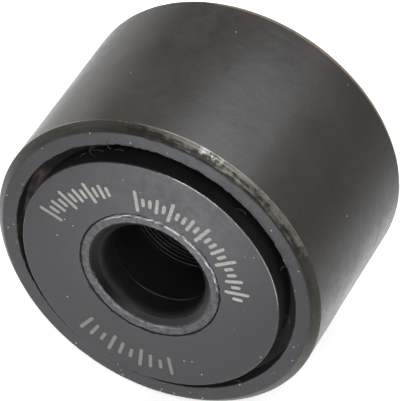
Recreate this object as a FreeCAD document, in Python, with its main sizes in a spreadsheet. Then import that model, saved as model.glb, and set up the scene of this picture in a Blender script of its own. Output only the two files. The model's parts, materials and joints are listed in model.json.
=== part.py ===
"""A yoke-type cam follower: a full-complement needle roller bearing with a thick outer ring.

The roller's axis is +Y and the origin is the centre of the bore. The marked end faces -Y.
The outer ring turns on a full complement of needles round the inner ring. An end plate is
pressed on each end of the inner ring and keeps the outer ring and the needles in place.
"""

import FreeCAD, Part
import Sketcher

import os

# Driving dimensions in millimetres. needle_count is a plain number.
DIMENSIONS = {
    "tread_radius": 12.7,
    "ring_width": 15.875,
    "overall_width": 17.4625,
    "bore_radius": 3.96875,
    "tread_chamfer": 0.6,
    "counterbore_radius": 10.97,
    "counterbore_depth": 1.34,
    "counterbore_chamfer": 0.1,
    "inner_race_radius": 5.74,
    "outer_race_radius": 8.15,
    "race_chamfer": 0.2,
    "spigot_radius": 5.47,
    "joint_chamfer": 0.08,
    "bore_chamfer": 0.73,
    "bore_groove_width": 5.38,
    "bore_groove_depth": 0.4,
    "oil_hole_radius": 1.0,
    "plate_radius": 10.08,
    "plate_thickness": 2.0,
    "plate_edge_round": 0.14,
    "needle_radius": 1.19,
    "needle_length": 13.2,
    "needle_end_round": 0.25,
    "needle_pitch_radius": 6.945,
    "needle_count": 18,
    "grease_film": 0.1,
    "grease_length": 12.8,
}

HALF_WIDTH = "Size.overall_width / 2"
HALF_RING = "Size.ring_width / 2"
SHOULDER = "(Size.overall_width / 2 - Size.plate_thickness)"

doc = FreeCAD.newDocument("cam_follower")
sheet = doc.addObject("Spreadsheet::Sheet", "Size")


def fill_sheet():
    """Writes one driving dimension on each row of the sheet and names its cell."""
    for row, (alias, value) in enumerate(DIMENSIONS.items(), start=1):
        sheet.set(f"A{row}", alias)
        sheet.set(f"B{row}", str(value))
        sheet.setAlias(f"B{row}", alias)
    doc.recompute()


def size(expression):
    """The value of an expression of the sheet's cells, as a plain number."""
    value = sheet.evalExpression(expression)
    return float(getattr(value, "Value", value))


def new_body(name):
    """An empty body whose label is the sub-part's name."""
    body = doc.addObject("PartDesign::Body", name)
    body.Label = name
    return body


def origin_feature(body, role):
    """One of the body's own origin planes or axes."""
    return next(f for f in body.Origin.OriginFeatures if f.Role == role)


def new_sketch(body, name, plane):
    """An empty sketch on one of the body's origin planes."""
    sketch = body.newObject("Sketcher::SketchObject", name)
    sketch.AttachmentSupport = [(origin_feature(body, plane), "")]
    sketch.MapMode = "FlatFace"
    return sketch


def pin_corner(sketch, line, across, along):
    """Dimensions the start of a line from the sketch's origin with two expressions."""
    for kind, expression in (("DistanceX", across), ("DistanceY", along)):
        rule = Sketcher.Constraint(kind, -1, 1, line, 1, size(expression))
        index = sketch.addConstraint(rule)
        sketch.setExpression(f"Constraints[{index}]", expression)


def section_sketch(body, name, inner, outer, low, high):
    """A rectangle on the XY plane, from radius inner to outer and from low to high along Y."""
    sketch = new_sketch(body, name, "XY_Plane")
    corners = [(inner, low), (outer, low), (outer, high), (inner, high)]
    points = [FreeCAD.Vector(size(across), size(along), 0) for across, along in corners]
    for start, end in zip(points, points[1:] + points[:1]):
        sketch.addGeometry(Part.LineSegment(start, end), False)
    for line in range(4):
        sketch.addConstraint(Sketcher.Constraint("Coincident", line, 2, (line + 1) % 4, 1))
    for line, (across, along) in enumerate(corners):
        pin_corner(sketch, line, across, along)
    return sketch


def circle_sketch(body, name, plane, radius):
    """A circle about the origin of one of the body's planes."""
    sketch = new_sketch(body, name, plane)
    circle = Part.Circle(FreeCAD.Vector(), FreeCAD.Vector(0, 0, 1), size(radius))
    index = sketch.addGeometry(circle, False)
    sketch.addConstraint(Sketcher.Constraint("Coincident", index, 3, -1, 1))
    rule = Sketcher.Constraint("Radius", index, size(radius))
    sketch.setExpression(f"Constraints[{sketch.addConstraint(rule)}]", radius)
    return sketch


def turn(body, kind, name, sketch):
    """A full Revolution or Groove of a sketch about the body's Y axis."""
    feature = body.newObject(f"PartDesign::{kind}", name)
    feature.Profile = sketch
    feature.ReferenceAxis = (sketch, ["V_Axis"])
    feature.Angle = 360
    doc.recompute()
    return feature


def mirror(body, name, feature):
    """Repeats a feature on the other side of the roller's mid-plane."""
    mirrored = body.newObject("PartDesign::Mirrored", name)
    mirrored.Originals = [feature]
    mirrored.MirrorPlane = (origin_feature(body, "XZ_Plane"), [""])
    body.Tip = mirrored
    doc.recompute()
    return mirrored


def round_edges(shape, radius, places):
    """Names of the circular edges about the Y axis with this radius at these distances along Y."""
    names = []
    for number, edge in enumerate(shape.Edges, start=1):
        if not isinstance(edge.Curve, Part.Circle):
            continue
        centre = edge.Curve.Center
        if abs(edge.Curve.Radius - size(radius)) > 1e-4 or abs(centre.x) + abs(centre.z) > 1e-4:
            continue
        if any(abs(centre.y - place) < 1e-4 for place in places):
            names.append(f"Edge{number}")
    return names


def dress(body, kind, name, base, edges, amount):
    """A Chamfer or Fillet of the named edges."""
    feature = body.newObject(f"PartDesign::{kind}", name)
    feature.Base = (base, edges)
    feature.setExpression("Size" if kind == "Chamfer" else "Radius", amount)
    doc.recompute()
    return feature


def both_ends(expression):
    """The two places along Y at this distance from the mid-plane."""
    return (-size(expression), size(expression))


def removed(before, after, name):
    """Stops the build if a cutting feature has cut nothing away."""
    if after.Shape.Volume >= before.Shape.Volume - 1e-6:
        raise RuntimeError(f"{name} cuts nothing")


def outer_ring():
    """Thick ring with a plain tread, a needle raceway and a counterbore at each end."""
    body = new_body("outer_ring")
    section = section_sketch(
        body, "outer_section", "Size.outer_race_radius", "Size.tread_radius",
        f"-{HALF_RING}", HALF_RING,
    )
    blank = turn(body, "Revolution", "outer_blank", section)
    section = section_sketch(
        body, "counterbore_section", "Size.outer_race_radius - 1", "Size.counterbore_radius",
        f"-{HALF_RING}", f"-{HALF_RING} + Size.counterbore_depth",
    )
    front = turn(body, "Groove", "front_counterbore", section)
    removed(blank, front, "front_counterbore")
    both = mirror(body, "both_counterbores", front)
    removed(front, both, "both_counterbores")

    ends = both_ends(HALF_RING)
    edges = round_edges(both.Shape, "Size.tread_radius", ends)
    tread = dress(body, "Chamfer", "tread_chamfers", both, edges, "Size.tread_chamfer")
    edges = round_edges(tread.Shape, "Size.counterbore_radius", ends)
    mouth = dress(body, "Chamfer", "mouth_chamfers", tread, edges, "Size.counterbore_chamfer")
    floors = both_ends(f"{HALF_RING} - Size.counterbore_depth")
    edges = round_edges(mouth.Shape, "Size.outer_race_radius", floors)
    dress(body, "Chamfer", "race_chamfers", mouth, edges, "Size.race_chamfer")
    return body


def inner_ring():
    """Bored ring with a raceway, a turned-down spigot at each end and a grooved bore."""
    body = new_body("inner_ring")
    section = section_sketch(
        body, "inner_section", "Size.bore_radius", "Size.inner_race_radius",
        f"-{HALF_WIDTH}", HALF_WIDTH,
    )
    blank = turn(body, "Revolution", "inner_blank", section)
    section = section_sketch(
        body, "spigot_section", "Size.spigot_radius", "Size.inner_race_radius + 1",
        f"-{HALF_WIDTH}", f"-{SHOULDER}",
    )
    front = turn(body, "Groove", "front_spigot", section)
    removed(blank, front, "front_spigot")
    spigots = mirror(body, "both_spigots", front)
    removed(front, spigots, "both_spigots")

    section = section_sketch(
        body, "bore_groove_section", "Size.bore_radius - 1",
        "Size.bore_radius + Size.bore_groove_depth",
        "-Size.bore_groove_width / 2", "Size.bore_groove_width / 2",
    )
    grooved = turn(body, "Groove", "bore_groove", section)
    removed(spigots, grooved, "bore_groove")

    # the oil hole runs up from the groove to the raceway, at the top of the ring
    hole = body.newObject("PartDesign::Pocket", "oil_hole")
    hole.Profile = circle_sketch(body, "oil_hole_circle", "XY_Plane", "Size.oil_hole_radius")
    hole.Type = "ThroughAll"
    hole.Reversed = True
    doc.recompute()
    removed(grooved, hole, "oil_hole")

    ends = both_ends(HALF_WIDTH)
    edges = round_edges(hole.Shape, "Size.bore_radius", ends)
    bored = dress(body, "Chamfer", "bore_chamfers", hole, edges, "Size.bore_chamfer")
    edges = round_edges(bored.Shape, "Size.spigot_radius", ends)
    dress(body, "Chamfer", "joint_chamfers", bored, edges, "Size.joint_chamfer")
    return body


def end_plate(name, turned):
    """Washer pressed on a spigot, built at the front end and then turned to its own end."""
    body = new_body(name)
    section = section_sketch(
        body, f"{name}_section", "Size.spigot_radius", "Size.plate_radius",
        f"-{HALF_WIDTH}", f"-{SHOULDER}",
    )
    blank = turn(body, "Revolution", f"{name}_blank", section)
    face = (-size(HALF_WIDTH),)
    edges = round_edges(blank.Shape, "Size.plate_radius", face)
    rim = dress(body, "Fillet", f"{name}_rim", blank, edges, "Size.plate_edge_round")
    edges = round_edges(rim.Shape, "Size.spigot_radius", face)
    dress(body, "Chamfer", f"{name}_joint", rim, edges, "Size.joint_chamfer")
    body.Placement = FreeCAD.Placement(
        FreeCAD.Vector(), FreeCAD.Rotation(FreeCAD.Vector(0, 0, 1), turned)
    )
    return body


def place_on_pitch_circle(part, number):
    """Moves a part to its place on the needles' pitch circle. Number 0 is on +X."""
    angle = f"{number} * 360 / Size.needle_count"
    part.setExpression("Placement.Base.x", f"Size.needle_pitch_radius * cos({angle})")
    part.setExpression("Placement.Base.z", f"Size.needle_pitch_radius * sin({angle})")


def needle_roller(number):
    """One needle with rounded ends, on its place in the full complement."""
    name = f"needle_roller_{number + 1:02d}"
    body = new_body(name)
    needle = body.newObject("PartDesign::Pad", f"{name}_pad")
    needle.Profile = circle_sketch(body, f"{name}_circle", "XZ_Plane", "Size.needle_radius")
    needle.setExpression("Length", "Size.needle_length")
    needle.SideType = "Symmetric"
    doc.recompute()
    ends = both_ends("Size.needle_length / 2")
    edges = round_edges(needle.Shape, "Size.needle_radius", ends)
    dress(body, "Fillet", f"{name}_ends", needle, edges, "Size.needle_end_round")
    place_on_pitch_circle(body, number)
    return body


def rod(name, radius, length):
    """A cylinder along Y, centred on the mid-plane."""
    cylinder = doc.addObject("Part::Cylinder", name)
    cylinder.setExpression("Radius", radius)
    cylinder.setExpression("Height", length)
    cylinder.Placement.Rotation = FreeCAD.Rotation(FreeCAD.Vector(1, 0, 0), -90)
    cylinder.setExpression("Placement.Base.y", f"-({length}) / 2")
    return cylinder


def grease_fill():
    """Grease in the pockets that the needles leave between the two raceways."""
    outside = rod("grease_outside", "Size.outer_race_radius - Size.grease_film", "Size.grease_length")
    inside = rod("grease_inside", "Size.inner_race_radius + Size.grease_film", "Size.grease_length")
    needles = []
    for number in range(int(size("Size.needle_count"))):
        space = rod(
            f"needle_space_{number + 1:02d}", "Size.needle_radius + Size.grease_film",
            "Size.needle_length",
        )
        place_on_pitch_circle(space, number)
        needles.append(space)
    spaces = doc.addObject("Part::MultiFuse", "needle_spaces")
    spaces.Shapes = [inside] + needles
    grease = doc.addObject("Part::Cut", "grease_fill")
    grease.Label = "grease_fill"
    grease.Base = outside
    grease.Tool = spaces
    return grease


def check_and_write(parts):
    """Stops if anything in the document failed, then writes each sub-part to its own file."""
    doc.recompute()
    for thing in doc.Objects:
        if {"Invalid", "Error"} & set(thing.State):
            raise RuntimeError(f"{thing.Name} failed: {thing.State}")
    for part in parts:
        if part.Shape.isNull() or not part.Shape.isValid():
            raise RuntimeError(f"{part.Label} has no valid shape")
    os.makedirs("parts", exist_ok=True)
    for part in parts:
        part.Shape.exportStep(f"parts/{part.Label}.step")
        print(f"{part.Label}: {part.Shape.Volume:.2f} mm3, {len(part.Shape.Solids)} solid(s)")


fill_sheet()
parts = [
    outer_ring(),
    inner_ring(),
    end_plate("front_end_plate", 0),
    end_plate("rear_end_plate", 180),
    grease_fill(),
]
parts += [needle_roller(number) for number in range(int(size("Size.needle_count")))]
check_and_write(parts)
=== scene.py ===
"""Looks for a yoke-type cam follower: black oxide rings and plates round a full complement of needles.

Lengths are in millimetres and are turned into metres where a mesh or an object is made.
The roller's axis is Y, and the marked end faces -Y.
"""

import json
import math

import bmesh
import bpy
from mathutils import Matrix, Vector, noise


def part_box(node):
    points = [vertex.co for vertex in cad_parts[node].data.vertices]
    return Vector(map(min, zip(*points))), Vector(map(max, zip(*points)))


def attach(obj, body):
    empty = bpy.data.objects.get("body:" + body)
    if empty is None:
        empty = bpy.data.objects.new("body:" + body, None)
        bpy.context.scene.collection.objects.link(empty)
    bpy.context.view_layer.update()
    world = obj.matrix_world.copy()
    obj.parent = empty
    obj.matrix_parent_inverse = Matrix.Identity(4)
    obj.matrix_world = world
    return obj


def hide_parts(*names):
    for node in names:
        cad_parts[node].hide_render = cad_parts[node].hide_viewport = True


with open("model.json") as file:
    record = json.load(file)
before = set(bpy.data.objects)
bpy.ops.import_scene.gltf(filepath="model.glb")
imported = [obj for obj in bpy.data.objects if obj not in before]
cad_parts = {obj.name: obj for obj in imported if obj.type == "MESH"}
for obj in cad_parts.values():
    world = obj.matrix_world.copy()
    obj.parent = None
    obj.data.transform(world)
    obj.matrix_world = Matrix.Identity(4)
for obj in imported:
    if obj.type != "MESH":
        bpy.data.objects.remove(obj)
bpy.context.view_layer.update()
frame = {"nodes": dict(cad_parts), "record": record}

MM = 0.001


# --- sizes, read from the frame -----------------------------------------------------------------

def reach(node):
    """The largest radius and the largest distance along Y of a node, in millimetres."""
    low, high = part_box(node)
    return high.x / MM, max(-low.y, high.y) / MM


def mount_radius(name):
    """The radius of one of the record's round mounts, in millimetres."""
    return next(m["dims"]["r_mm"] for m in frame["record"]["mounts"] if m["name"] == name)


TREAD_RADIUS, HALF_RING = reach("outer_ring")
PLATE_RADIUS, HALF_WIDTH = reach("front_end_plate")
RACE_RADIUS = reach("inner_ring")[0]
BORE_RADIUS = mount_radius("bore")
SHOULDER = -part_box("front_end_plate")[1].y / MM
NEEDLE_LOW, NEEDLE_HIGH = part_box("needle_roller_01")
NEEDLE_RADIUS = (NEEDLE_HIGH.z - NEEDLE_LOW.z) / 2 / MM
NEEDLE_HALF_LENGTH = NEEDLE_HIGH.y / MM

# sizes of the CAD pieces that no box or mount gives
SPIGOT_RADIUS = 5.47
COUNTERBORE_RADIUS = 10.97
COUNTERBORE_FLOOR = HALF_RING - 1.34
OUTER_RACE_RADIUS = 8.15
TREAD_CHAMFER = 0.6
BORE_CHAMFER = 0.73
GROOVE_RADIUS = BORE_RADIUS + 0.4
GROOVE_HALF_WIDTH = 2.69
OIL_HOLE_RADIUS = 1.0

# bevels that only the looks have
JOINT_CHAMFER = 0.16
RING_BEVEL = 0.09
PLATE_BEVEL = 0.05
# a fine line turned round the bore near each end: its distance from the end, half width and depth
SCRIBE_INSET = 2.3
SCRIBE_HALF_WIDTH = 0.10
SCRIBE_DEPTH = 0.04


# --- meshes -------------------------------------------------------------------------------------

# extra points along each side of a section: near its corners, and along the middle of a long side
CORNER_OFFSETS = (0.05, 0.12, 0.3, 0.7)
LONG_SIDE = 2.5
MIDDLE_PARTS = 8
MIDDLE_MARGIN = 0.8
SMALLEST_GAP = 0.02
# how far from a corner its wear has faded to about a third
WEAR_REACH = 0.09


def mesh_object(name, vertices, faces, zones, materials, wear):
    """A smooth-shaded mesh. zones holds each face's material and wear each vertex's edge wear."""
    mesh = bpy.data.meshes.new(name)
    mesh.from_pydata([Vector(v) * MM for v in vertices], [], faces)
    mesh.polygons.foreach_set("material_index", zones)
    mesh.polygons.foreach_set("use_smooth", [True] * len(faces))
    mesh.attributes.new("wear", "FLOAT", "POINT").data.foreach_set("value", wear)
    for material in materials:
        mesh.materials.append(material)
    mesh.update()
    piece = bpy.data.objects.new(name, mesh)
    bpy.context.scene.collection.objects.link(piece)
    return piece


def rounded(before, corner, after, radius):
    """Points of a small bend that replaces a corner of an outline."""
    steps = 4
    start = corner + (before - corner).normalized() * radius
    end = corner + (after - corner).normalized() * radius
    points = []
    for step in range(steps + 1):
        t = step / steps
        points.append(start * (1 - t) ** 2 + corner * (2 * t * (1 - t)) + end * t ** 2)
    return points


def outline(corners):
    """Points round a closed section, each with its side's zone, its edge wear and its raggedness.

    Each corner is (radius, along, bend, zone of the side that follows it, wear, ragged): wear runs
    from 0 to 1, and ragged is how far the edge wanders, in millimetres.
    """
    places = [Vector((c[0], c[1])) for c in corners]
    count = len(corners)
    bends = [
        rounded(places[i - 1], places[i], places[(i + 1) % count], corners[i][2])
        for i in range(count)
    ]
    points = []
    for i, (_, _, _, zone, worn, ragged) in enumerate(corners):
        next_worn = corners[(i + 1) % count][4]
        start, end = bends[i][-1], bends[(i + 1) % count][0]
        side = (end - start).length
        points += [(p, zone, worn, ragged) for p in bends[i]]
        offsets = [d for d in CORNER_OFFSETS if d < side / 2 - SMALLEST_GAP]
        stops = [(d, worn) for d in offsets] + [(side - d, next_worn) for d in reversed(offsets)]
        if side > LONG_SIDE:
            middles = [side * k / MIDDLE_PARTS for k in range(1, MIDDLE_PARTS)]
            stops += [(d, 0.0) for d in middles if MIDDLE_MARGIN < d < side - MIDDLE_MARGIN]
        for distance, amount in sorted(stops):
            nearest = min(distance, side - distance)
            faded = amount * math.exp(-nearest / WEAR_REACH)
            points.append((start.lerp(end, distance / side), zone, faded, 0.0))
    return points


def wander(place):
    """How far a ragged edge leaves its line, as a share of its raggedness, at a place in millimetres."""
    return max(0.0, noise.noise(place * 1.3)) + max(0.0, noise.noise(place * 4.1) * 0.9)


def lathe(name, corners, materials, segments):
    """Turns a closed section about Y. Ragged corners wander a little into the metal."""
    section = outline(corners)
    middle = sum((p[0] for p in section), Vector((0, 0))) / len(section)
    vertices, wear = [], []
    for turn in range(segments):
        angle = 2 * math.pi * turn / segments
        across = Vector((math.cos(angle), 0, math.sin(angle)))
        for point, _, worn, ragged in section:
            if ragged:
                inwards = (middle - point).normalized() * ragged
                point = point + inwards * wander(across * point.x + Vector((0, point.y, 0)))
            vertices.append(across * point.x + Vector((0, point.y, 0)))
            wear.append(worn)
    faces, zones = [], []
    size = len(section)
    for turn in range(segments):
        here, there = turn * size, (turn + 1) % segments * size
        for k in range(size):
            following = (k + 1) % size
            faces.append((here + k, here + following, there + following, there + k))
            zones.append(section[k][1])
    piece = mesh_object(name, vertices, faces, zones, materials, wear)
    face_outwards(piece)
    weighted = piece.modifiers.new("flat_faces", "WEIGHTED_NORMAL")
    weighted.keep_sharp = True
    weighted.weight = 100
    return piece


def both_ends(half, middle_zone):
    """A whole section from the corners of its -Y half, listed from outside to inside.

    middle_zone is the zone of the side that joins the two halves at the outside.
    """
    whole = list(half)
    for k in reversed(range(len(half))):
        radius, along, bend, _, worn, ragged = half[k]
        zone = half[k - 1][3] if k else middle_zone
        whole.append((radius, -along, bend, zone, worn, ragged))
    return whole


def face_outwards(piece):
    """Turns a closed mesh's faces outwards."""
    shape = bmesh.new()
    shape.from_mesh(piece.data)
    bmesh.ops.recalc_face_normals(shape, faces=shape.faces)
    shape.to_mesh(piece.data)
    shape.free()


# --- materials ----------------------------------------------------------------------------------

class Paint:
    """One procedural material, built with short calls. Places are in millimetres."""

    def __init__(self, name, roughness, metallic=0.0, specular=0.5):
        self.material = bpy.data.materials.new(name)
        self.material.use_nodes = True
        self.tree = self.material.node_tree
        self.shader = self.tree.nodes["Principled BSDF"]
        self.shader.inputs["Roughness"].default_value = roughness
        self.shader.inputs["Metallic"].default_value = metallic
        self.shader.inputs["Specular IOR Level"].default_value = specular
        coordinates = self.add("ShaderNodeTexCoord")
        self.place = self.vector("SCALE", coordinates.outputs["Object"], scale=1 / MM)
        parts = self.add("ShaderNodeSeparateXYZ", (self.place,))
        self.across, self.along, self.up = parts.outputs
        squares = self.maths("ADD", self.maths("POWER", self.across, 2), self.maths("POWER", self.up, 2))
        self.radius = self.maths("SQRT", squares)
        self.angle = self.maths("ARCTAN2", self.up, self.across)
        self.wear = self.add("ShaderNodeAttribute", attribute_name="wear").outputs["Fac"]

    def add(self, kind, inputs=(), **settings):
        """A new node with these settings, whose first inputs are fed in order."""
        node = self.tree.nodes.new(kind)
        for key, value in settings.items():
            setattr(node, key, value)
        for socket, value in zip(node.inputs, inputs):
            self.feed(socket, value)
        return node

    def feed(self, socket, value):
        """Links a socket to another, or sets its value. None leaves it as it is."""
        if isinstance(value, bpy.types.NodeSocket):
            self.tree.links.new(value, socket)
        elif value is not None:
            socket.default_value = value

    def maths(self, operation, a, b=0.0):
        return self.add("ShaderNodeMath", (a, b), operation=operation).outputs[0]

    def vector(self, operation, a, b=None, scale=None):
        node = self.add("ShaderNodeVectorMath", (a,), operation=operation)
        self.feed(node.inputs[1], b)
        if scale is not None:
            self.feed(node.inputs["Scale"], scale)
        return node.outputs["Value" if operation == "LENGTH" else "Vector"]

    def combine(self, x, y, z):
        return self.add("ShaderNodeCombineXYZ", (x, y, z)).outputs[0]

    def noise(self, scale, detail=3.0, where=None, roughness=0.55):
        node = self.add("ShaderNodeTexNoise")
        self.feed(node.inputs["Vector"], where or self.place)
        node.inputs["Scale"].default_value = scale
        node.inputs["Detail"].default_value = detail
        node.inputs["Roughness"].default_value = roughness
        return node.outputs["Fac"]

    def turned(self, across, along, around=0.4):
        """Coordinates that vary fast across turning marks and slowly along them."""
        return self.combine(
            self.maths("MULTIPLY", self.radius, across),
            self.maths("MULTIPLY", self.along, along),
            self.maths("MULTIPLY", self.angle, around),
        )

    def step(self, value, low, high):
        """0 at low and 1 at high, with a smooth change between them. low may be above high."""
        node = self.add("ShaderNodeMapRange", (value, low, high), interpolation_type="SMOOTHSTEP")
        return node.outputs[0]

    def facing(self, angle, low, high):
        """1 on the side of the object at an angle from X towards Z, and 0 on the other side.

        low and high are the cosines, of the angle away from that side, where the change starts and ends.
        """
        away = self.maths("SUBTRACT", self.angle, math.radians(angle))
        return self.step(self.maths("COSINE", away), low, high)

    def patch(self, centre, outside, inside):
        """1 nearer to a place than the distance inside, and 0 further away than the distance outside."""
        distance = self.vector("LENGTH", self.vector("SUBTRACT", self.place, centre))
        return self.step(distance, outside, inside)

    def between(self, value, low, high):
        """A value from 0 to 1, stretched to run from low to high."""
        return self.add("ShaderNodeMapRange", (value, 0.0, 1.0, low, high)).outputs[0]

    def sum_of(self, a, most_a, b, most_b):
        """The sum of two values from 0 to 1, each stretched to run from 0 to its own most."""
        return self.maths("ADD", self.between(a, 0.0, most_a), self.between(b, 0.0, most_b))

    def product(self, first, *others):
        """Several values multiplied together."""
        for value in others:
            first = self.maths("MULTIPLY", first, value)
        return first

    def mix(self, share, a, b):
        """Colour a where share is 0 and colour b where it is 1."""
        node = self.add("ShaderNodeMix", data_type="RGBA")
        self.feed(node.inputs["Factor"], share)
        self.feed(node.inputs[6], a if isinstance(a, bpy.types.NodeSocket) else (*a, 1))
        self.feed(node.inputs[7], b if isinstance(b, bpy.types.NodeSocket) else (*b, 1))
        return node.outputs[2]

    def specks(self, scale, size, share):
        """Small round spots, at a share of the cells of a grid of the given scale."""
        cells = self.add("ShaderNodeTexVoronoi", feature="F1")
        self.feed(cells.inputs["Vector"], self.place)
        cells.inputs["Scale"].default_value = scale
        spot = self.step(cells.outputs["Distance"], size, size * 0.4)
        pick = self.add("ShaderNodeSeparateColor", (cells.outputs["Color"],)).outputs[0]
        return self.product(spot, self.maths("LESS_THAN", pick, share))

    def colour(self, value):
        self.feed(self.shader.inputs["Base Color"], value)

    def rough(self, value):
        self.feed(self.shader.inputs["Roughness"], value)

    def metal(self, value):
        self.feed(self.shader.inputs["Metallic"], value)

    def bump(self, height, depth):
        """Raises the surface where height is 1, by a depth in millimetres."""
        node = self.add("ShaderNodeBump")
        node.inputs["Strength"].default_value = 1.0
        node.inputs["Distance"].default_value = depth * MM
        self.feed(node.inputs["Height"], height)
        self.feed(self.shader.inputs["Normal"], node.outputs["Normal"])


BARE_STEEL = (0.50, 0.495, 0.48)
RUBBED_BORE_STEEL = (0.22, 0.22, 0.225)
BROWNED_STEEL = (0.24, 0.185, 0.13)
DUST = (0.55, 0.54, 0.53)
# the height of the oxide's soft waves, in millimetres
WAVINESS = 0.014
# where the edges are rubbed most, and where the glint is, in degrees from X towards Z.
# on the chamfer, the plate's edge, the ring's end, the bore and its mouth, the rubbed steel lies on the side
# where the highlights fall, so it is partly painted highlight, and the glint is a painted highlight
CHAMFER_WEAR_AND_HIGHLIGHT = 60
GLINT = 70
PLATE_EDGE_WEAR_AND_HIGHLIGHT = 46
RING_END_WEAR_AND_HIGHLIGHT = 70
RUBBED_TREAD = 58
MOUTH_WEAR_AND_HIGHLIGHT = -110
BORE_WEAR_AND_HIGHLIGHT = -85
# where old grease has dried in the gaps, and where the bore's mouth and the etched marks are palest,
# which is painted light on the side where light falls
CRUSTED_GAP = 110
PAINTED_LIGHT_ON_MOUTH = -60
PAINTED_LIGHT_ON_MARKS = 60


def black_oxide(name, dark, light, roughness, specks=0.0, worn_edge=0.5, worn=BARE_STEEL, depth=0.02,
                worn_side=None, worn_metal=1.0):
    """Ground steel with a black oxide skin: cloudy, finely grained, and rubbed through on its edges.

    specks is the share of small places that hold a grain of dust. worn_edge, from 0 to 1, is how far
    the wear spreads from the edges, and worn is the colour of the rubbed steel. depth is the height
    of the grain in millimetres. worn_side is the angle where the edges are rubbed most, if they
    aren't rubbed evenly, and worn_metal is how metallic they look.
    """
    paint = Paint(name, roughness)
    clouds = paint.noise(0.22, 4)
    grain = paint.noise(4.0, 4, roughness=0.72)
    mottle = paint.step(paint.noise(1.7, 3, roughness=0.65), 0.36, 0.64)
    marks = paint.noise(1.0, 3, paint.turned(14.0, 14.0))
    tint = paint.mix(paint.step(paint.sum_of(clouds, 0.5, grain, 0.5), 0.3, 0.72), dark, light)
    tint = paint.mix(paint.between(marks, 0.0, 0.2), tint, light)
    rubbed = paint.product(paint.wear, paint.between(paint.noise(2.2, 5, roughness=0.7), 0.6, 1.3))
    if worn_side is not None:
        rubbed = paint.product(rubbed, paint.between(paint.facing(worn_side, 0.6, 0.95), 0.3, 1.0))
    bare = paint.step(rubbed, 0.8 - 0.5 * worn_edge, 1.05 - 0.5 * worn_edge)
    tint = paint.mix(bare, tint, worn)
    if specks:
        tint = paint.mix(paint.specks(1.5, 0.12, specks), tint, DUST)
    paint.colour(tint)
    paint.metal(paint.between(bare, 0.0, worn_metal))
    cloudy = paint.between(paint.step(clouds, 0.38, 0.62), -0.02, 0.03)
    uneven = paint.maths("ADD", cloudy, paint.between(mottle, -0.02, 0.05))
    paint.rough(paint.maths("MAXIMUM", paint.maths("ADD", uneven, roughness), roughness - 0.02))
    waves = paint.between(paint.noise(0.8, 1), 0.0, WAVINESS / depth)
    paint.bump(paint.maths("ADD", paint.sum_of(marks, 0.2, grain, 0.8), waves), depth)
    return paint.material


def burnished_chamfer_and_highlight():
    """The outer ring's chamfer: dark brown oxide, rubbed to steel in streaks on one side, with a glint.

    The streaks lie on the side where highlights fall, so they are partly painted highlight, and the glint is
    a painted highlight.
    """
    paint = Paint("burnished_chamfer_and_highlight", 0.4)
    streaks = paint.noise(1.0, 5, paint.turned(6.0, 6.0, 5.0), 0.7)
    blots = paint.noise(1.6, 5, roughness=0.7)
    outer = paint.step(paint.radius, TREAD_RADIUS - TREAD_CHAMFER, TREAD_RADIUS)
    tone = paint.maths("ADD", paint.sum_of(streaks, 0.6, blots, 0.4), paint.between(outer, -0.07, 0.05))
    # partly painted highlight: the streaks of rubbed steel are put on the side where highlights fall
    rubbed_and_lit_side = paint.facing(CHAMFER_WEAR_AND_HIGHLIGHT, 0.65, 0.95)
    brown = paint.mix(paint.step(tone, 0.34, 0.62), (0.022, 0.0175, 0.0115), (0.060, 0.052, 0.037))
    bare = paint.step(paint.maths("ADD", tone, paint.between(rubbed_and_lit_side, -0.13, 0.07)), 0.50, 0.65)
    # painted highlight: the glint is a small patch of pale steel colour
    glint_place = paint.facing(GLINT, 0.996, 0.9998)
    glint = paint.product(glint_place, paint.step(blots, 0.42, 0.56), paint.step(outer, 0.15, 0.6))
    steel = paint.mix(glint, (0.30, 0.285, 0.25), (0.85, 0.84, 0.82))
    paint.colour(paint.mix(paint.maths("MAXIMUM", bare, glint), brown, steel))
    paint.metal(paint.between(bare, 0.1, 0.8))
    paint.rough(paint.between(blots, 0.3, 0.5))
    paint.bump(tone, 0.03)
    return paint.material


def greasy_black(name):
    """Oxide under old grease, in the gaps and recesses."""
    paint = Paint(name, 0.6, specular=0.2)
    smears = paint.noise(0.8, 6, paint.turned(1.6, 1.6, 5.0), 0.65)
    crusted_side = paint.between(paint.facing(CRUSTED_GAP, -0.3, 0.5), 0.15, 1.0)
    broad = paint.step(paint.noise(0.35, 2), 0.42, 0.56)
    patches = paint.product(paint.step(smears, 0.46, 0.64), broad, crusted_side)
    paint.colour(paint.mix(patches, (0.050, 0.045, 0.048), (0.17, 0.135, 0.10)))
    paint.rough(paint.between(patches, 0.75, 0.5))
    paint.bump(smears, 0.06)
    return paint.material


def ring_end_steel():
    """The inner ring's ground end: thinner oxide, scuffed and mottled, with fine lines round it.

    The rubbed steel at its edges is put on the side where highlights fall, so it is partly painted
    highlight.
    """
    paint = Paint("ring_end_steel", 0.36)
    lines = paint.noise(1.0, 4, paint.turned(14.0, 14.0, 4.0), 0.65)
    blots = paint.noise(2.4, 5, roughness=0.75)
    tone = paint.sum_of(lines, 0.4, blots, 0.6)
    tint = paint.mix(paint.step(tone, 0.38, 0.62), (0.028, 0.029, 0.032), (0.112, 0.114, 0.121))
    # partly painted highlight: the rubbed steel at the edge is put on the side where highlights fall
    side = paint.between(paint.facing(RING_END_WEAR_AND_HIGHLIGHT, 0.2, 0.9), 0.45, 1.0)
    rubbed = paint.product(paint.wear, side, paint.between(blots, 0.4, 1.6))
    bare = paint.maths("MAXIMUM", paint.step(rubbed, 0.45, 0.85), paint.step(tone, 0.61, 0.68))
    paint.colour(paint.mix(bare, tint, (0.46, 0.46, 0.47)))
    paint.metal(paint.between(bare, 0.2, 0.8))
    paint.rough(paint.between(blots, 0.22, 0.44))
    paint.bump(tone, 0.03)
    return paint.material


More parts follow.
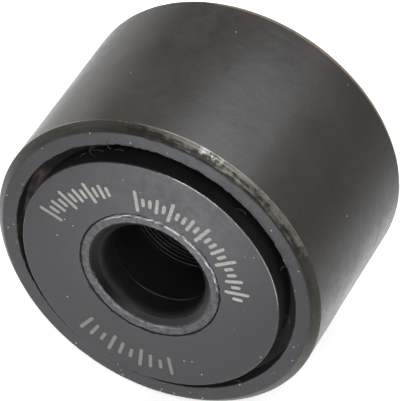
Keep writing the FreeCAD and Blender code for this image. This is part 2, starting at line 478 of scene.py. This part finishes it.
def bore_steel(name, dark, light, pitch, depth):
    """The blackened bore, with turning marks of a given pitch and depth in millimetres.

    Its rubbed steel is put on the side where light falls, so it is partly painted highlight.
    """
    paint = Paint(name, 0.45, specular=0.3)
    waver = paint.noise(1.0, 4, paint.turned(3.0, 9.0, 1.0))
    turns = paint.product(paint.along, 2 * math.pi / pitch)
    turns = paint.maths("ADD", turns, paint.between(waver, 0.0, 5.0))
    height = paint.sum_of(paint.maths("SINE", turns), 0.6, waver, 0.4)
    # partly painted highlight: the rubbed steel is put on the side where light falls
    side = paint.between(paint.facing(BORE_WEAR_AND_HIGHLIGHT, 0.55, 0.9), 0.3, 1.0)
    bare = paint.step(paint.product(paint.wear, side, paint.between(waver, 0.6, 1.3)), 0.5, 0.9)
    tint = paint.mix(paint.step(height, 0.35, 0.75), dark, light)
    paint.colour(paint.mix(bare, tint, RUBBED_BORE_STEEL))
    paint.metal(bare)
    paint.rough(paint.between(waver, 0.36, 0.52))
    paint.bump(height, depth)
    return paint.material


def mouth_steel():
    """The chamfer at the bore's mouth: black and blotchy, with a broken bright line at its edge.

    It is paler on one side as painted light, and the bright line, of rubbed steel, is put on the side where
    highlights fall, so it is partly painted highlight.
    """
    paint = Paint("bore_mouth_oxide", 0.42, specular=0.2)
    blots = paint.noise(2.6, 5, roughness=0.7)
    # painted light: the chamfer's colour is paler on the side where light falls
    pale = paint.product(paint.facing(PAINTED_LIGHT_ON_MOUTH, 0.1, 0.95), paint.between(blots, 0.5, 1.5))
    # partly painted highlight: the rubbed steel at the edge is put on the side where highlights fall
    side = paint.between(paint.facing(MOUTH_WEAR_AND_HIGHLIGHT, 0.2, 0.9), 0.4, 1.0)
    bare = paint.step(paint.product(paint.wear, side, paint.between(blots, 0.4, 1.9)), 0.55, 0.95)
    tint = paint.mix(pale, (0.006, 0.0057, 0.0058), (0.060, 0.059, 0.061))
    paint.colour(paint.mix(bare, tint, RUBBED_BORE_STEEL))
    paint.metal(paint.between(bare, 0.0, 0.7))
    paint.rough(paint.between(blots, 0.34, 0.52))
    paint.bump(blots, 0.02)
    return paint.material


def polished_needle():
    """Ground and lapped bearing steel with a thin film of oil."""
    paint = Paint("polished_needle", 0.16, metallic=1.0)
    marks = paint.noise(1.0, 3, paint.turned(30.0, 30.0, 1.0))
    paint.colour(paint.mix(paint.step(marks, 0.3, 0.7), (0.48, 0.475, 0.46), (0.62, 0.615, 0.60)))
    paint.rough(paint.between(paint.noise(1.2, 3), 0.1, 0.24))
    paint.bump(marks, 0.001)
    return paint.material


def amber_grease():
    """Used bearing grease: wet, brown and uneven."""
    paint = Paint("amber_grease", 0.22)
    lumps = paint.noise(1.5, 4)
    paint.colour(paint.mix(paint.step(lumps, 0.35, 0.7), (0.035, 0.022, 0.010), (0.14, 0.095, 0.045)))
    paint.rough(paint.between(lumps, 0.15, 0.32))
    paint.bump(lumps, 0.08)
    return paint.material


def etched_grey():
    """Etched marks: pale, matt and a little broken up, and darker at the bottom of the plate and palest at
    its upper right, as painted light and shade.
    """
    paint = Paint("etched_grey", 0.75, specular=0.2)
    spots = paint.noise(7.0, 4, roughness=0.7)
    pale = paint.mix(paint.step(spots, 0.3, 0.62), (0.42, 0.39, 0.36), (0.66, 0.63, 0.58))
    # painted light and shade: the marks are palest at the upper right of the plate and darker at its bottom
    paint.colour(paint.mix(paint.facing(PAINTED_LIGHT_ON_MARKS, -0.7, 0.5), (0.27, 0.25, 0.23), pale))
    paint.rough(paint.between(spots, 0.65, 0.85))
    paint.bump(spots, 0.01)
    return paint.material


# round patches of painted light and shade on the floor: centre, and the radii where each one ends and where
# it is full
GLOW = ((-10.0, 12.0, 0.0), 46.0, 33.0)
BRIGHT_CORNER = ((15.0, -4.0, 0.0), 16.0, 5.0)
SHADED_PATCH = ((62.0, 46.0, 0.0), 52.0, 24.0)
# the glow also ends on the right along a slanting line, where x + slope * y reaches these values
GLOW_SLOPE = 0.38
GLOW_RIGHT = (26.0, 18.5)
# the floor's own light outside the glow and inside it, and what the bright corner adds
FAR_LIGHT = 0.08
NEAR_LIGHT = 0.70
CORNER_LIGHT = 0.9


def glowing_studio_floor():
    """The pale floor: a white sheet that glows, as painted light, most strongly round the object and in a
    bright corner on the right.

    A painted shade patch makes it darker at the right back, where the tread's right side mirrors it.
    """
    paint = Paint("glowing_studio_floor", 0.7, specular=0.1)
    sheet = paint.mix(paint.noise(0.02, 2), (0.84, 0.84, 0.835), (0.87, 0.87, 0.865))
    # painted shade: a darker patch at the right back, for the tread to mirror
    paint.colour(paint.mix(paint.patch(*SHADED_PATCH), sheet, (0.36, 0.36, 0.36)))
    # painted light: the floor glows most round the object and in a bright corner, though it is no lamp
    right = paint.maths("ADD", paint.across, paint.product(paint.along, GLOW_SLOPE))
    near = paint.product(paint.patch(*GLOW), paint.step(right, *GLOW_RIGHT))
    corner = paint.between(paint.patch(*BRIGHT_CORNER), 0.0, CORNER_LIGHT)
    glow = paint.maths("ADD", paint.between(near, FAR_LIGHT, NEAR_LIGHT), corner)
    paint.feed(paint.shader.inputs["Emission Color"], (1, 1, 1, 1))
    paint.feed(paint.shader.inputs["Emission Strength"], glow)
    return paint.material


# --- pieces -------------------------------------------------------------------------------------

# how far the oil hole's cutter passes the wall that it cuts
OVERRUN = 1.0


def drill(piece, radius, low, high):
    """Cuts a round hole of a given radius up through a piece, between two heights in millimetres."""
    shape = bmesh.new()
    size = radius * MM
    depth = (high - low) * MM
    bmesh.ops.create_cone(shape, cap_ends=True, segments=48, radius1=size, radius2=size, depth=depth)
    bmesh.ops.translate(shape, verts=shape.verts, vec=(0, 0, (low + high) / 2 * MM))
    cutter_mesh = bpy.data.meshes.new("drill")
    shape.to_mesh(cutter_mesh)
    shape.free()
    cutter = bpy.data.objects.new("drill", cutter_mesh)
    bpy.context.scene.collection.objects.link(cutter)
    cut = piece.modifiers.new("oil_hole", "BOOLEAN")
    cut.object = cutter
    cut.solver = "EXACT"
    piece.modifiers.move(len(piece.modifiers) - 1, 0)
    drilled = bpy.data.meshes.new_from_object(piece.evaluated_get(bpy.context.evaluated_depsgraph_get()))
    piece.modifiers.remove(cut)
    piece.data = drilled
    bpy.data.objects.remove(cutter)


def finish_piece(piece, body, node):
    """Hangs a piece on its body and lets it stand for its CAD node, if it has one."""
    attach(piece, body)
    if node:
        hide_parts(node)
    return piece


def outer_ring_materials():
    tread = black_oxide(
        "tread_oxide", (0.0215, 0.0185, 0.0140), (0.0430, 0.0390, 0.0320), 0.31, specks=0.02, worn_edge=0.75,
        worn=BROWNED_STEEL, depth=0.011, worn_side=RUBBED_TREAD, worn_metal=0.15,
    )
    face = black_oxide(
        "ring_face_oxide", (0.030, 0.0304, 0.0335), (0.051, 0.0516, 0.0565), 0.37, specks=0.9, worn_edge=0.3,
    )
    return [tread, burnished_chamfer_and_highlight(), face, greasy_black("counterbore_grease"), polished_needle()]


def build_outer_ring():
    """The ring with the tread, its chamfers and a counterbore at each end."""
    tread, chamfer, face, recess, race = range(5)
    edge = HALF_RING - TREAD_CHAMFER
    half = [
        (TREAD_RADIUS, -edge, 0.04, chamfer, 0.8, 0.01),
        (TREAD_RADIUS - TREAD_CHAMFER, -HALF_RING, 0.06, face, 0.3, 0.03),
        (COUNTERBORE_RADIUS, -HALF_RING, 0.05, recess, 0.35, 0.13),
        (COUNTERBORE_RADIUS, -COUNTERBORE_FLOOR, 0.05, recess, 0.0, 0.0),
        (OUTER_RACE_RADIUS, -COUNTERBORE_FLOOR, 0.18, race, 0.0, 0.0),
    ]
    section = both_ends(half, tread)
    # the tread's rear edge is rounder and more worn than its front edge
    section[-1] = (TREAD_RADIUS, edge, 0.2, tread, 1.0, 0.02)
    piece = lathe("outer_ring_body", section, outer_ring_materials(), segments=720)
    return finish_piece(piece, "roller", "outer_ring")


def inner_ring_materials():
    return [
        ring_end_steel(),
        mouth_steel(),
        bore_steel("bore_oxide", (0.019, 0.017, 0.0165), (0.026, 0.024, 0.0235), pitch=0.11, depth=0.01),
        # partly painted highlight: the groove's turning marks get pale crests that stand for light on them
        bore_steel("bore_groove_oxide", (0.014, 0.013, 0.0125), (0.30, 0.29, 0.29), pitch=0.34, depth=0.06),
        greasy_black("joint_grease"),
        polished_needle(),
    ]


def build_inner_ring():
    """The bored ring, with a lubrication groove in its bore and an oil hole up through its wall."""
    end, mouth, bore, groove, joint, race = range(6)
    scribe = HALF_WIDTH - SCRIBE_INSET
    half = [
        (RACE_RADIUS, -SHOULDER, 0.1, race, 0.0, 0.0),
        (SPIGOT_RADIUS, -SHOULDER, 0.03, joint, 0.0, 0.0),
        (SPIGOT_RADIUS, JOINT_CHAMFER - HALF_WIDTH, 0.03, joint, 0.0, 0.0),
        (SPIGOT_RADIUS - RING_BEVEL, -HALF_WIDTH, 0.08, end, 1.0, 0.10),
        (BORE_RADIUS + BORE_CHAMFER, -HALF_WIDTH, 0.10, mouth, 0.7, 0.04),
        (BORE_RADIUS, BORE_CHAMFER - HALF_WIDTH, 0.40, bore, 0.0, 0.0),
        (BORE_RADIUS, -scribe - SCRIBE_HALF_WIDTH, 0.02, bore, 0.6, 0.0),
        (BORE_RADIUS + SCRIBE_DEPTH, -scribe, 0.02, bore, 0.9, 0.0),
        (BORE_RADIUS, -scribe + SCRIBE_HALF_WIDTH, 0.02, bore, 0.6, 0.0),
        (BORE_RADIUS, -GROOVE_HALF_WIDTH, 0.08, groove, 1.0, 0.0),
        (GROOVE_RADIUS, -GROOVE_HALF_WIDTH, 0.1, groove, 0.0, 0.0),
    ]
    piece = lathe("inner_ring_body", both_ends(half, race), inner_ring_materials(), segments=480)
    drill(piece, OIL_HOLE_RADIUS, BORE_RADIUS - OVERRUN, RACE_RADIUS + OVERRUN)
    return finish_piece(piece, "hub", "inner_ring")


def end_plate_materials():
    face = black_oxide(
        "plate_oxide", (0.026, 0.0264, 0.0290), (0.042, 0.0425, 0.0460), 0.34, specks=0.16, worn_edge=0.3,
    )
    rim = black_oxide(
        "plate_rim_oxide", (0.015, 0.0135, 0.0150), (0.026, 0.0235, 0.0265), 0.45, specks=0.0, worn_edge=0.1,
    )
    inside = greasy_black("plate_back_grease")
    joint = greasy_black("plate_joint_grease")
    # partly painted highlight: the edge's rubbed steel is put on the side where highlights fall
    edge = black_oxide(
        "plate_edge_oxide", (0.026, 0.026, 0.028), (0.045, 0.045, 0.049), 0.26, specks=0.3, worn_edge=0.9,
        worn_side=PLATE_EDGE_WEAR_AND_HIGHLIGHT,
    )
    return [face, rim, inside, joint, edge]


def build_end_plate(name, node, side, materials):
    """A flat washer on the inner ring. side is -1 at the front and 1 at the rear."""
    face, rim, inside, joint, edge = range(5)
    corners = [
        (SPIGOT_RADIUS, side * (HALF_WIDTH - JOINT_CHAMFER), 0.03, joint, 0.0, 0.0),
        (SPIGOT_RADIUS + PLATE_BEVEL, side * HALF_WIDTH, 0.03, face, 0.6, 0.10),
        (PLATE_RADIUS - PLATE_BEVEL, side * HALF_WIDTH, 0.02, edge, 0.8, 0.02),
        (PLATE_RADIUS, side * (HALF_WIDTH - PLATE_BEVEL), 0.02, rim, 0.6, 0.02),
        (PLATE_RADIUS, side * SHOULDER, 0.06, inside, 0.0, 0.0),
        (SPIGOT_RADIUS, side * SHOULDER, 0.06, joint, 0.0, 0.0),
    ]
    piece = lathe(name, corners, materials, segments=600)
    return finish_piece(piece, "hub", node)


# --- etched marks: plain ticks ------------------------------------------------------------------

TICK_WIDTH = 0.27
TICK_WAVER = 0.10
# how far the marks stand proud of the plate, and how deep they reach into it
MARK_HEIGHT = 0.008
MARK_ROOT = 0.02
# each row: first angle, last angle, middle radius at each, number of ticks, tick lengths in turn
TICK_ROWS = (
    (158, 115, 8.3, 7.5, 12, (1.9, 0.9, 1.3, 0.9)),
    (98, 3, 6.8, 6.9, 22, (1.9, 0.8, 0.8, 1.4, 0.8)),
    (-79, -128, 8.4, 8.3, 10, (1.7, 0.9, 1.3)),
)


def polar(radius, angle, along):
    """A place on the front, from its radius and its angle in degrees from X towards Z."""
    turned = math.radians(angle)
    return Vector((radius * math.cos(turned), along, radius * math.sin(turned)))


def flat_mark(outline_points):
    """Vertices and faces of a thin slab on the front face, from its outline in (x, z)."""
    count = len(outline_points)
    top, base = -HALF_WIDTH - MARK_HEIGHT, -HALF_WIDTH + MARK_ROOT
    vertices = [(x, top, z) for x, z in outline_points] + [(x, base, z) for x, z in outline_points]
    faces = [tuple(range(count)), tuple(reversed(range(count, 2 * count)))]
    faces += [(k, k + count, (k + 1) % count + count, (k + 1) % count) for k in range(count)]
    return vertices, faces


def tick(middle_radius, angle, length, width):
    """A radial tick with round ends. Its outline wavers a little, as an etched line's does."""
    steps = 8
    out = polar(1, angle, 0)
    side = Vector((-out.z, 0, out.x))
    points = []
    for end in (1, -1):
        for k in range(steps + 1):
            turned = math.pi * k / steps
            reach_out = (length - width) / 2 * end + width / 2 * math.sin(turned) * end
            place = out * (middle_radius + reach_out) + side * (width / 2 * math.cos(turned) * end)
            waver = 1 + TICK_WAVER * noise.noise(place * 3.1)
            place = out * middle_radius + (place - out * middle_radius) * waver
            points.append((place.x, place.z))
    return flat_mark(points)


def join(vertices, faces, more_vertices, more_faces):
    """Adds one mesh's vertices and faces to those of another."""
    start = len(vertices)
    faces += [tuple(index + start for index in face) for face in more_faces]
    vertices += more_vertices


def build_marks():
    """All the ticks of the etched rows, as one piece on the front plate."""
    vertices, faces = [], []
    for first, last, inner, outer, count, lengths in TICK_ROWS:
        for k in range(count):
            share = k / (count - 1)
            angle = first + (last - first) * share
            radius = inner + (outer - inner) * share
            join(vertices, faces, *tick(radius, angle, lengths[k % len(lengths)], TICK_WIDTH))
    zones, wear = [0] * len(faces), [0] * len(vertices)
    piece = mesh_object("etched_marks", vertices, faces, zones, [etched_grey()], wear)
    for polygon in piece.data.polygons:
        polygon.use_smooth = False
    face_outwards(piece)
    return finish_piece(piece, "hub", None)


# --- lint over the front gap --------------------------------------------------------------------

# each fibre: angle and radius where it starts, height above the ring's face, length, curl in degrees
LINT = (
    (114, 10.85, 0.12, 1.4, 205),
    (111, 10.45, 0.06, 1.2, 30),
    (107, 10.70, 0.10, 1.0, -150),
    (119, 10.45, 0.15, 0.8, 90),
    (102, 10.60, 0.08, 0.7, 40),
    (48, 10.68, 0.10, 1.1, 130),
    (21, 10.60, 0.12, 0.9, -140),
    (-6, 10.60, 0.10, 1.0, 120),
    (-52, 10.55, 0.15, 1.1, -100),
)
LINT_RADIUS = 0.022
LINT_TAPER = 0.5
# how far a fibre rises and falls, and the angle at which it leaves its start, from straight outwards
LINT_WAVE = 0.012
LINT_HEADING = 70


def fibre(angle, radius, height, length, curl):
    """Vertices and faces of one thin fibre that curls in the plane of the front and tapers."""
    steps, sides = 12, 6
    place = polar(radius, angle, -HALF_RING - height)
    heading = math.radians(angle + LINT_HEADING)
    vertices = []
    for step in range(steps + 1):
        along = Vector((math.cos(heading), 0, math.sin(heading)))
        across = Vector((-along.z, 0, along.x))
        thin = LINT_RADIUS * (1 - LINT_TAPER * step / steps)
        for k in range(sides):
            turned = 2 * math.pi * k / sides
            outwards = across * math.cos(turned) + Vector((0, 1, 0)) * math.sin(turned)
            vertices.append(place + outwards * thin)
        place = place + along * (length / steps) + Vector((0, LINT_WAVE * math.sin(step), 0))
        heading += math.radians(curl) / steps
    faces = [tuple(range(sides)), tuple(reversed(range(steps * sides, (steps + 1) * sides)))]
    for step in range(steps):
        for k in range(sides):
            here, following = step * sides + k, step * sides + (k + 1) % sides
            faces.append((here, here + sides, following + sides, following))
    return vertices, faces


def lint_fluff():
    """Grey-brown fibres of lint."""
    paint = Paint("lint_fluff", 0.8, specular=0.2)
    paint.colour(paint.mix(paint.noise(5.0, 2), (0.07, 0.06, 0.048), (0.16, 0.145, 0.125)))
    paint.rough(paint.between(paint.noise(9.0, 2), 0.7, 0.9))
    return paint.material


def build_lint():
    """All the fibres, as one piece that turns with the outer ring."""
    vertices, faces = [], []
    for strand in LINT:
        join(vertices, faces, *fibre(*strand))
    zones, wear = [0] * len(faces), [0] * len(vertices)
    piece = mesh_object("gap_lint", vertices, faces, zones, [lint_fluff()], wear)
    face_outwards(piece)
    return finish_piece(piece, "roller", None)


# --- needles and grease -------------------------------------------------------------------------

NEEDLES = sum(node.startswith("needle_roller_") for node in frame["nodes"])
# a needle's section stops this far short of its axis, so that no face there has an edge of no length
NEEDLE_CORE = 0.02


def build_needle(number, material):
    """One needle, turned about Y and then put where its CAD node is."""
    node = f"needle_roller_{number:02d}"
    low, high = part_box(node)
    centre = (low + high) / 2 / MM
    corners = [
        (NEEDLE_RADIUS, NEEDLE_HALF_LENGTH, 0.25, 0, 0.0, 0.0),
        (NEEDLE_CORE, NEEDLE_HALF_LENGTH, 0.01, 0, 0.0, 0.0),
        (NEEDLE_CORE, -NEEDLE_HALF_LENGTH, 0.01, 0, 0.0, 0.0),
        (NEEDLE_RADIUS, -NEEDLE_HALF_LENGTH, 0.25, 0, 0.0, 0.0),
    ]
    piece = lathe(f"needle_{number:02d}_body", corners, [material], segments=48)
    for vertex in piece.data.vertices:
        vertex.co += centre * MM
    return finish_piece(piece, f"needle_{number:02d}", node)


def paint_grease():
    """The grease keeps its CAD mesh and gets a material."""
    grease = frame["nodes"]["grease_fill"]
    grease.data.materials.clear()
    grease.data.materials.append(amber_grease())


# --- floor, camera and light --------------------------------------------------------------------

# half the floor's width, in metres
FLOOR_REACH = 3.0
# the camera's place in degrees and metres, its lens in millimetres and its shift
CAMERA_PLACE = (24.60, 41.41, 0.25745)
CAMERA_LENS = 317.2
CAMERA_SHIFT = (-0.0007, 0.0043)


def add_floor():
    """A flat floor that the tread rests on."""
    floor_mesh = bpy.data.meshes.new("studio_floor")
    height = -TREAD_RADIUS * MM
    signs = [(-1, -1), (1, -1), (1, 1), (-1, 1)]
    corners = [(FLOOR_REACH * x, FLOOR_REACH * y, height) for x, y in signs]
    floor_mesh.from_pydata(corners, [], [(0, 1, 2, 3)])
    floor_mesh.materials.append(glowing_studio_floor())
    floor = bpy.data.objects.new("studio_floor", floor_mesh)
    bpy.context.scene.collection.objects.link(floor)


def towards(azimuth, elevation):
    """The direction from the object to a place at this azimuth and elevation, in degrees."""
    a, e = math.radians(azimuth), math.radians(elevation)
    return Vector((math.sin(a) * math.cos(e), -math.cos(a) * math.cos(e), math.sin(e)))


def look_from(thing, azimuth, elevation, distance):
    """Puts a camera or light at a distance from the origin, looking at it."""
    back = towards(azimuth, elevation)
    thing.location = back * distance
    thing.rotation_mode = "QUATERNION"
    thing.rotation_quaternion = (-back).to_track_quat("-Z", "Y")


def add_camera():
    """The camera at the photograph's viewing angle."""
    data = bpy.data.cameras.new("camera")
    data.lens = CAMERA_LENS
    data.sensor_width = 36.0
    data.shift_x, data.shift_y = CAMERA_SHIFT
    data.clip_start = 0.01
    data.clip_end = 20.0
    camera = bpy.data.objects.new("camera", data)
    bpy.context.scene.collection.objects.link(camera)
    look_from(camera, *CAMERA_PLACE)
    bpy.context.scene.camera = camera


# each light: azimuth and elevation in degrees, distance and diameter in metres, brightness of its face
LIGHTS = {
    "band_right": (135, 50, 0.11, 0.05, 3.4),
    "band_middle": (150, 65, 0.11, 0.05, 2.9),
    "band_left": (165, 65, 0.11, 0.05, 4.3),
    "top_left": (210, 65, 0.11, 0.06, 2.2),
    "front_right": (18, 45, 0.33, 0.20, 2.45),
    "back_wide": (130, 25, 0.5, 0.45, 0.5),
    "left_far": (230, 10, 0.5, 0.18, 0.63),
    "left_high": (230, 40, 0.5, 0.18, 2.1),
    "left_back": (250, 10, 0.5, 0.18, 17.7),
    "front_low": (300, 25, 0.11, 0.06, 1.2),
    "edge_right": (72, 30, 0.33, 0.15, 3.0),
}
# lights this high or higher, in degrees, are a little cooler than the rest, and so are the cards
COOL_FROM = 50
COOL = (0.96, 0.975, 1.035)
WHITE = (1.0, 1.0, 1.0)
# two cards just above the floor in front, which the front faces mirror: x, y, diameter, brightness
CARDS = {
    "card_left": (-8, -30.5, 15, 3.9),
    "card_right": (-1.5, -27.5, 12, 3.6),
}
CARD_HEIGHT = 0.1
CARD_DIRECTION = (0.312, 0.682, 0.661)


def disc_light(name, diameter, brightness, tint):
    """A round soft light that the camera doesn't see. Its power follows from its face's brightness."""
    data = bpy.data.lights.new(name, "AREA")
    data.color = tint
    data.shape = "DISK"
    data.size = diameter
    data.energy = brightness * math.pi ** 2 * (diameter / 2) ** 2
    light = bpy.data.objects.new(name, data)
    bpy.context.scene.collection.objects.link(light)
    light.visible_camera = False
    return light


def add_lights():
    """The soft lights round the object, and the cards in front of it."""
    for name, (azimuth, elevation, distance, diameter, brightness) in LIGHTS.items():
        tint = COOL if elevation >= COOL_FROM else WHITE
        look_from(disc_light(name, diameter, brightness, tint), azimuth, elevation, distance)
    for name, (x, y, diameter, brightness) in CARDS.items():
        card = disc_light(name, diameter * MM, brightness, COOL)
        card.location = Vector((x, y, CARD_HEIGHT - TREAD_RADIUS)) * MM
        card.rotation_mode = "QUATERNION"
        card.rotation_quaternion = Vector(CARD_DIRECTION).to_track_quat("-Z", "Y")


def add_world():
    """A faint, even light from all round."""
    world = bpy.data.worlds.new("studio")
    bpy.context.scene.world = world
    world.use_nodes = True
    background = world.node_tree.nodes["Background"]
    background.inputs["Color"].default_value = (0.97, 0.98, 1.0, 1)
    background.inputs["Strength"].default_value = 0.03


# --- the whole object and its studio ------------------------------------------------------------

build_outer_ring()
build_inner_ring()
plate_materials = end_plate_materials()
build_end_plate("front_plate_body", "front_end_plate", -1, plate_materials)
build_end_plate("rear_plate_body", "rear_end_plate", 1, plate_materials)
build_marks()
build_lint()
needle_material = polished_needle()
for number in range(1, NEEDLES + 1):
    build_needle(number, needle_material)
paint_grease()
add_floor()
add_camera()
add_world()
add_lights()
bpy.context.scene.view_settings.view_transform = "Standard"
